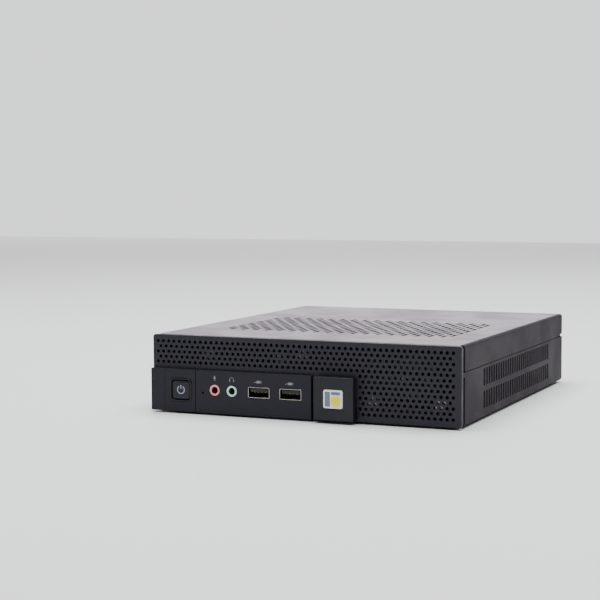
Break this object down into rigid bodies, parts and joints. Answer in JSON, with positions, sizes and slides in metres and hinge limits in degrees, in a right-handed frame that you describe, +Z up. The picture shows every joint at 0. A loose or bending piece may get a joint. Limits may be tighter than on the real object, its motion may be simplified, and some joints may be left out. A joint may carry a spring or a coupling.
{
  "type": "mini pc",
  "caption": "Slim desktop mini pc in a folded steel case with a perforated black front, front ports, a sprung power key and a cooling fan.",
  "frame": {"origin": "middle of the footprint, on the surface that the rubber feet stand on", "axes": "+Z up, front with the power key towards -Y, +X to the right seen from the front"},
  "size_m": [0.19, 0.2262, 0.0457],
  "materials": {
    "cover_paint": "satin paint",
    "chassis_paint": "satin paint",
    "bezel_plastic": "fine texture",
    "panel_plastic": "satin",
    "badge_face": "gloss",
    "frame_gloss": "gloss",
    "button_plastic": "satin",
    "light_guide": "gloss",
    "black_plastic": "matte",
    "switch_plunger": "matte",
    "board_green": "solder mask",
    "zinc_steel": "zinc plated",
    "standoff_brass": "plain",
    "mic_pink": "gloss",
    "mic_bore": "matte",
    "phones_mint": "gloss",
    "phones_bore": "matte",
    "port_steel": "nickel plated",
    "contact_gold": "plated",
    "ribbon_grey": "matte",
    "sink_aluminium": "extruded",
    "cpu_lid": "nickel plated",
    "copper_winding": "enamelled",
    "socket_ivory": "matte",
    "ssd_blue": "solder mask",
    "choke_grey": "sintered",
    "drive_case": "anodised",
    "usb_blue": "matte",
    "foot_rubber": "matte"
  },
  "bodies": {
    "case": {"top_cover": "cover_paint", "chassis_tray": "chassis_paint", "front_bezel": "bezel_plastic", "port_panel": "panel_plastic", "badge_block": "bezel_plastic", "badge_plate": "badge_face", "button_frame": "frame_gloss", "power_switch": "black_plastic", "reset_switch": "black_plastic", "power_led": "light_guide", "port_board": "board_green", "port_board_standoffs": "standoff_brass", "port_board_screws": "zinc_steel", "mic_jack_ring": "mic_pink", "mic_jack_body": "mic_bore", "headphone_jack_ring": "phones_mint", "headphone_jack_body": "phones_bore", "usb_shell_left": "port_steel", "usb_shell_right": "port_steel", "usb_inserts": "black_plastic", "usb_contacts": "contact_gold", "panel_ribbon": "ribbon_grey", "bezel_clips": "zinc_steel", "main_board": "board_green", "board_standoffs": "standoff_brass", "board_screws": "zinc_steel", "drive_posts": "standoff_brass", "cpu_socket": "zinc_steel", "cpu": "cpu_lid", "heat_sink": "sink_aluminium", "cooler_screws": "zinc_steel", "fan_frame": "black_plastic", "fan_stator": "copper_winding", "fan_screws": "zinc_steel", "memory_sockets": "socket_ivory", "memory_modules": "board_green", "m2_drive": "ssd_blue", "coin_cell_holder": "black_plastic", "coin_cell": "cpu_lid", "chipset_sink": "sink_aluminium", "power_chokes": "choke_grey", "capacitors": "sink_aluminium", "drive_bracket": "zinc_steel", "storage_drive": "drive_case", "drive_screws": "zinc_steel", "port_shield": "port_steel", "dc_inlet": "black_plastic", "video_ports": "port_steel", "rear_usb_shells": "port_steel", "rear_usb_inserts": "usb_blue", "lan_jacks": "port_steel", "rear_audio_jacks": "black_plastic", "cover_screws": "zinc_steel", "rubber_feet": "foot_rubber"},
    "power_key": {"power_button": "button_plastic", "power_icon": "light_guide"},
    "power_key_plunger": {"power_plunger": "switch_plunger"},
    "reset_key": {"reset_plunger": "switch_plunger"},
    "fan": {"fan_rotor": "black_plastic", "fan_shaft": "zinc_steel"}
  },
  "joints": [
    {"name": "power_press", "type": "slide", "parent": "case", "child": "power_key", "axis": [0, 1, 0], "range_m": [0, 0.0006], "stiffness_N_per_m": 800},
    {"name": "plunger_press", "type": "slide", "parent": "case", "child": "power_key_plunger", "axis": [0, 1, 0], "range_m": [0, 0.0006], "stiffness_N_per_m": 200},
    {"name": "reset_press", "type": "slide", "parent": "case", "child": "reset_key", "axis": [0, 1, 0], "range_m": [0, 0.0003], "stiffness_N_per_m": 800},
    {"name": "fan_spin", "type": "hinge", "parent": "case", "child": "fan", "pos_m": [-0.001, -0.0171, 0.0362], "axis": [0, 0, 1], "continuous": true}
  ],
  "couplings": [
    {"joint": "plunger_press", "follows": "power_press", "ratio": 1}
  ]
}
